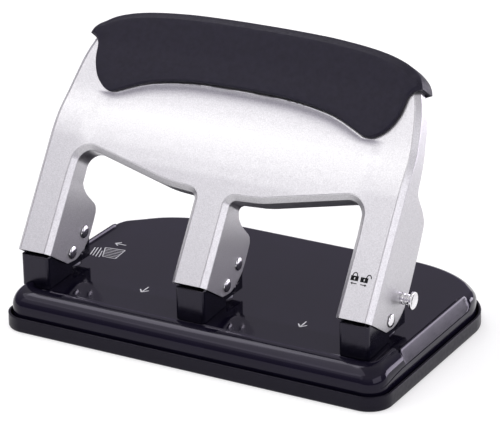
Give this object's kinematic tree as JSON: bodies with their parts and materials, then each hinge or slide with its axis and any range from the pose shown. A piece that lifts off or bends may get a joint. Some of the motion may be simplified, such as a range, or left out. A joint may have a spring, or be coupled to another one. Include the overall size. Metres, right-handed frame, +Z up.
{
  "type": "three hole punch",
  "caption": "Desk paper punch: a wide pressed handle on upright legs works a row of sprung punches over a pressed base in a chip tray.",
  "frame": {"origin": "centre of the chip tray's footprint, on the desk", "axes": "+X along the row of punches to the lock pin's end, +Y to the rear where the paper goes in, +Z up"},
  "size_m": [0.2576, 0.169, 0.1786],
  "materials": {
    "silver": "metallic silver paint on pressed steel, fine grain, satin",
    "grip_black": "soft-touch black, satin",
    "gloss_black": "gloss black enamel",
    "tray_black": "satin black moulding",
    "bracket_black": "satin black coat",
    "chrome": "bright nickel plate",
    "steel": "ground tool steel"
  },
  "bodies": {
    "base": {"base_cover": "gloss_black", "bracket_rivet_left_front": "steel", "bracket_rivet_left_rear": "steel", "bracket_rivet_middle_front": "steel", "bracket_rivet_middle_rear": "steel", "bracket_rivet_right_front": "steel", "bracket_rivet_right_rear": "steel", "die_ring_left": "steel", "die_ring_middle": "steel", "die_ring_right": "steel", "guide_block_left": "steel", "guide_block_middle": "steel", "guide_block_right": "steel", "guide_rivet_left_inner": "bracket_black", "guide_rivet_left_outer": "bracket_black", "guide_rivet_middle_inner": "bracket_black", "guide_rivet_middle_outer": "bracket_black", "guide_rivet_right_inner": "bracket_black", "guide_rivet_right_outer": "bracket_black", "punch_bracket_left": "bracket_black", "punch_bracket_middle": "bracket_black", "punch_bracket_right": "bracket_black", "return_spring_left": "steel", "return_spring_middle": "steel", "return_spring_right": "steel"},
    "tray": {"chip_tray": "tray_black"},
    "handle": {"handle_shell": "silver", "handle_grip": "grip_black", "drive_pin_left": "chrome", "drive_pin_middle": "chrome", "pivot_rivet_left": "chrome", "pivot_rivet_middle": "chrome", "pivot_rivet_right": "chrome"},
    "lock": {"lock_pin": "chrome", "lock_pin_clip": "steel"},
    "punch_left": {"punch_pin_left": "steel"},
    "punch_middle": {"punch_pin_middle": "steel"},
    "punch_right": {"punch_pin_right": "steel"}
  },
  "joints": [
    {"name": "handle_press", "type": "hinge", "parent": "base", "child": "handle", "pos_m": [0, -0.03867, 0.03705], "axis": [-1, 0, 0], "range_deg": [0, 38], "stiffness_Nm_per_rad": 0.6, "springref_deg": -57.3},
    {"name": "punch_slide_left", "type": "slide", "parent": "base", "child": "punch_left", "axis": [0, 0, -1], "range_m": [0, 0.0108], "deforming": ["return_spring_left"]},
    {"name": "punch_slide_middle", "type": "slide", "parent": "base", "child": "punch_middle", "axis": [0, 0, -1], "range_m": [0, 0.0108], "deforming": ["return_spring_middle"]},
    {"name": "punch_slide_right", "type": "slide", "parent": "base", "child": "punch_right", "axis": [0, 0, -1], "range_m": [0, 0.0108], "deforming": ["return_spring_right"]},
    {"name": "lock_slide", "type": "slide", "parent": "handle", "child": "lock", "axis": [-1, 0, 0], "range_m": [0, 0.004]},
    {"name": "tray_slide", "type": "slide", "parent": "base", "child": "tray", "axis": [0, 0, -1], "range_m": [0, 0.025]}
  ],
  "couplings": [
    {"joint": "punch_slide_left", "follows": "handle_press", "m_per_rad": 0.015729},
    {"joint": "punch_slide_middle", "follows": "handle_press", "m_per_rad": 0.015729},
    {"joint": "punch_slide_right", "follows": "handle_press", "m_per_rad": 0.015729}
  ]
}
